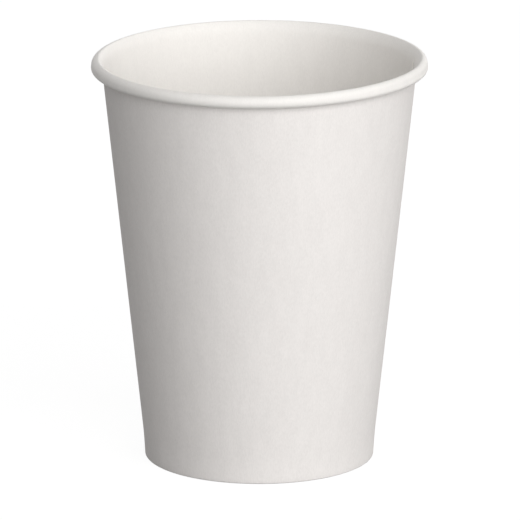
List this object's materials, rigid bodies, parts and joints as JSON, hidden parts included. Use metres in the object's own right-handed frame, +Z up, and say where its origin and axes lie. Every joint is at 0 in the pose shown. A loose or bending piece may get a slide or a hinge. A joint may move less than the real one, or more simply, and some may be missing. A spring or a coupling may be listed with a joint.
{
  "type": "paper coffee cup",
  "caption": "Open single-wall paper cup for hot drinks: a tapered wrapped sidewall with lapped seam, rolled rim and folded hem, and a recessed base disc held in the hem.",
  "frame": {"origin": "middle of the foot, on the table that the cup stands on", "axes": "+Z up the cup's axis, from the foot to the rolled rim; -Y towards the viewer of the picture, +X to the right"},
  "size_m": [0.09, 0.09, 0.1098],
  "materials": {
    "sidewall_board": "matte uncoated outside, thin satin coating inside",
    "base_board": "thin satin coating on top, matte uncoated below"
  },
  "bodies": {
    "root": {"sidewall": "sidewall_board", "base_disc": "base_board"}
  },
  "joints": []
}
